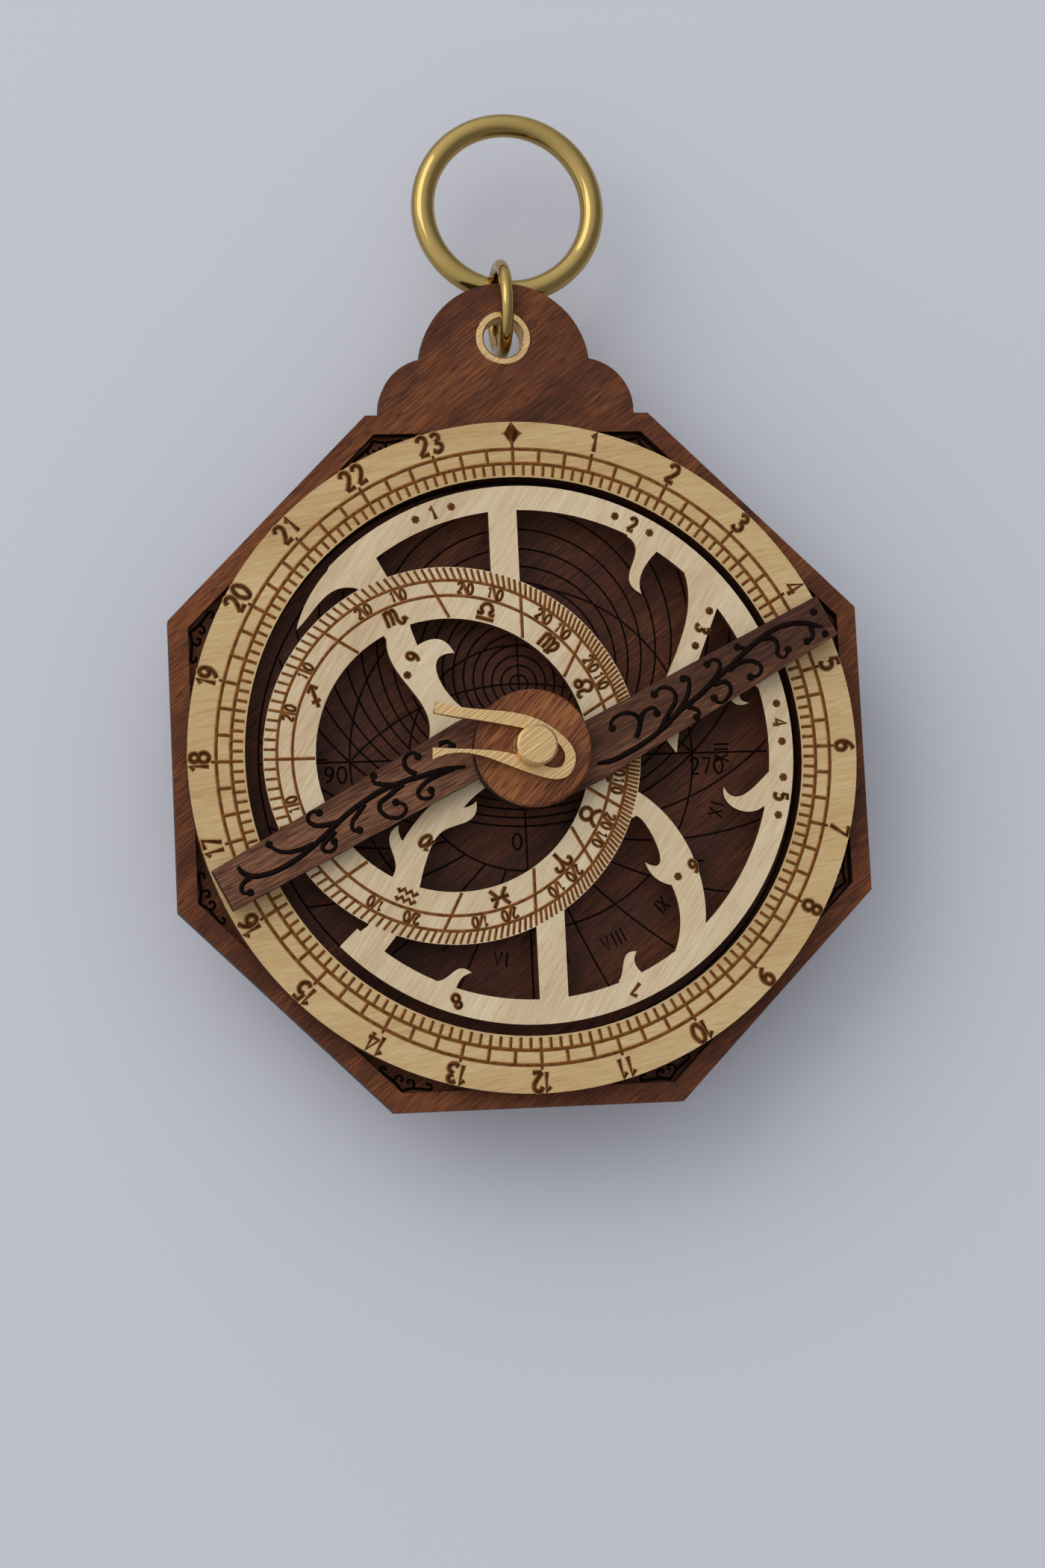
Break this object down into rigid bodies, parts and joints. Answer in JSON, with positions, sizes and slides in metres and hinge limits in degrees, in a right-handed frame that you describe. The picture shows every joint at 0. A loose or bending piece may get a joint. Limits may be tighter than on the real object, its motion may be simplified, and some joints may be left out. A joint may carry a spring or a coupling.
{
  "type": "wooden planispheric astrolabe",
  "caption": "Octagonal wooden astrolabe with a turning star net and rule over an engraved plate, a rear sighting bar, and a throne with shackle and brass hanging ring.",
  "frame": {"origin": "under the middle of the whole object, on the surface that the two sight vanes stand on", "axes": "+Z towards the face that is read, +Y towards the throne and the hanging ring, +X to the right of the dial"},
  "size_m": [0.105, 0.154, 0.0338],
  "materials": {
    "dark_wood": "waxed reddish brown board, laser-cut edges",
    "pale_wood": "bare pale board, engraved burnt brown",
    "turned_brass": "sanded, with fine scratches",
    "polished_brass": "polished"
  },
  "bodies": {
    "mater": {"back_board": "dark_wood", "rim_frame": "dark_wood", "well_ring": "dark_wood", "limb_ring": "pale_wood", "tympan_plate": "dark_wood", "plate_peg": "pale_wood", "hub_spacer": "dark_wood", "centre_pin": "turned_brass", "eyelet_bush": "turned_brass", "rear_washer": "turned_brass"},
    "star_net": {"rete": "pale_wood"},
    "rule_arm": {"rule": "dark_wood", "boss_disc": "dark_wood"},
    "horse_clip": {"horse": "turned_brass"},
    "sighting_bar": {"alidade": "dark_wood", "sight_vane_upper": "dark_wood", "sight_vane_lower": "dark_wood"},
    "shackle": {"shackle_ring": "polished_brass"},
    "hanging_ring": {"suspension_ring": "polished_brass"}
  },
  "joints": [
    {"name": "rete_turn", "type": "hinge", "parent": "mater", "child": "star_net", "pos_m": [0, -0.0245, 0.0236], "axis": [0, 0, 1], "continuous": true},
    {"name": "rule_turn", "type": "hinge", "parent": "mater", "child": "rule_arm", "pos_m": [0, -0.0245, 0.0256], "axis": [0, 0, 1], "continuous": true},
    {"name": "alidade_turn", "type": "hinge", "parent": "mater", "child": "sighting_bar", "pos_m": [0, -0.0245, 0.0146], "axis": [0, 0, 1], "continuous": true},
    {"name": "horse_slide", "type": "slide", "parent": "mater", "child": "horse_clip", "axis": [0.9806, -0.1961, 0], "range_m": [0, 0.018]},
    {"name": "shackle_swing", "type": "hinge", "parent": "mater", "child": "shackle", "pos_m": [0, 0.03985, 0.0184], "axis": [0, 0, 1], "range_deg": [-15, 15]},
    {"name": "ring_swing", "type": "hinge", "parent": "shackle", "child": "hanging_ring", "pos_m": [0.0026, 0.0487, 0.0142], "axis": [1, 0, 0], "range_deg": [-165, 45]}
  ]
}
